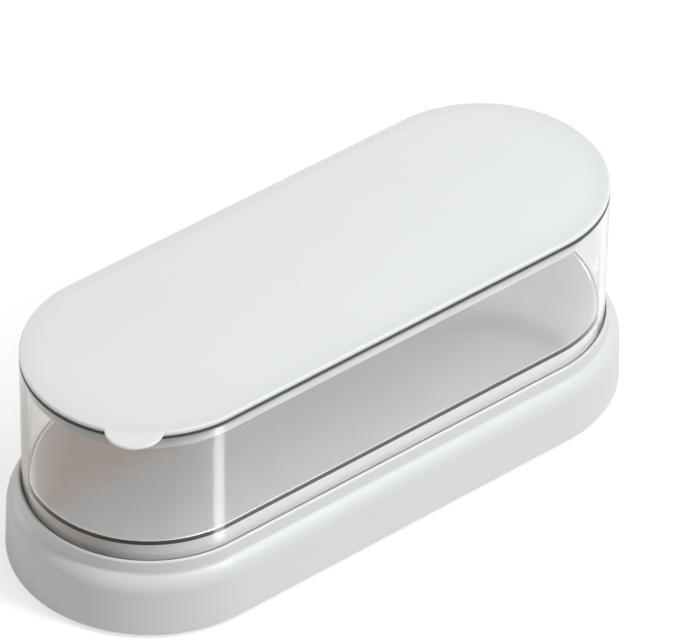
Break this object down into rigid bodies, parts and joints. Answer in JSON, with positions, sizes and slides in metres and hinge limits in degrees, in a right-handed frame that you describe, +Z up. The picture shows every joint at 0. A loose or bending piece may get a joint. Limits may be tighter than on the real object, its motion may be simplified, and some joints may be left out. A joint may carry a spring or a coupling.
{
  "type": "ultrasonic jewelry cleaner",
  "caption": "Long ultrasonic cleaning tank with round ends: clear wall, steel floor, white base with a push button, and a flat white lift-off lid with a tab.",
  "frame": {"origin": "on the ground under the middle of the base", "axes": "+X along the tank, away from the end with the lid's tab; +Z up; -Y the plain long side, +Y the side with the button and the charging socket"},
  "size_m": [0.203, 0.082, 0.071],
  "materials": {
    "lid_plastic": "satin white",
    "shell_plastic": "satin white",
    "cover_plastic": "fine texture, white",
    "collar_plastic": "satin white",
    "clear_plastic": "polished, clear",
    "ring_plastic": "milky white",
    "pan_steel": "satin stainless steel",
    "seal_rubber": "smooth, black",
    "foot_rubber": "matte, grey",
    "button_plastic": "satin, pale grey",
    "guide_plastic": "milky white",
    "black_plastic": "moulded, black",
    "socket_metal": "plated",
    "screw_steel": "zinc plated",
    "board_laminate": "green solder mask",
    "piezo_ceramic": "fired ceramic",
    "silvering": "fired silver",
    "bond_resin": "cured resin",
    "ferrite": "sintered, dark grey",
    "copper_wire": "enamelled copper",
    "capacitor_sleeve": "dark blue sleeve",
    "sink_aluminium": "extruded",
    "cell_wrap": "blue shrink wrap",
    "tray_plastic": "moulded, dark grey",
    "nickel": "nickel plated",
    "connector_nylon": "natural nylon",
    "lead_red": "red insulation",
    "lead_black": "black insulation"
  },
  "bodies": {
    "base": {"base_shell": "shell_plastic", "battery_cell_1": "cell_wrap", "battery_cell_2": "cell_wrap", "battery_header": "connector_nylon", "battery_lead_black": "lead_black", "battery_lead_red": "lead_red", "battery_plug": "connector_nylon", "battery_strips": "nickel", "battery_tray": "tray_plastic", "board_screws": "screw_steel", "bottom_cover": "cover_plastic", "capacitor_1": "capacitor_sleeve", "capacitor_2": "capacitor_sleeve", "charge_socket": "socket_metal", "chip_leads": "nickel", "coil_core": "ferrite", "coil_winding": "copper_wire", "collar_screws": "screw_steel", "control_chip": "black_plastic", "cover_gasket": "seal_rubber", "cover_screws": "screw_steel", "foot_1": "foot_rubber", "foot_2": "foot_rubber", "foot_3": "foot_rubber", "foot_4": "foot_rubber", "heat_sink": "sink_aluminium", "light_guide": "guide_plastic", "main_board": "board_laminate", "piezo_bond": "bond_resin", "piezo_disc": "piezo_ceramic", "piezo_electrode": "silvering", "piezo_header": "connector_nylon", "piezo_lead_black": "lead_black", "piezo_lead_red": "lead_red", "piezo_plug": "connector_nylon", "socket_tongue": "black_plastic", "solder_joints": "silvering", "status_led": "guide_plastic", "switch_body": "black_plastic", "tank_collar": "collar_plastic", "tank_pan": "pan_steel", "tank_seal": "seal_rubber", "tank_wall": "clear_plastic", "transformer_bobbin": "black_plastic", "transformer_core": "ferrite", "transformer_winding": "copper_wire", "transistor_1": "black_plastic", "transistor_2": "black_plastic", "transistor_legs": "nickel", "tray_screws": "screw_steel"},
    "lid": {"lid": "lid_plastic", "lid_ring": "ring_plastic", "lid_seal": "seal_rubber"},
    "button": {"power_button": "button_plastic", "switch_plunger": "black_plastic"}
  },
  "joints": [
    {"name": "lid_lift", "type": "slide", "parent": "base", "child": "lid", "axis": [0, 0, 1], "range_m": [0, 0.06]},
    {"name": "button_press", "type": "slide", "parent": "base", "child": "button", "axis": [0, -1, 0], "range_m": [0, 0.0005], "stiffness_N_per_m": 1500}
  ]
}
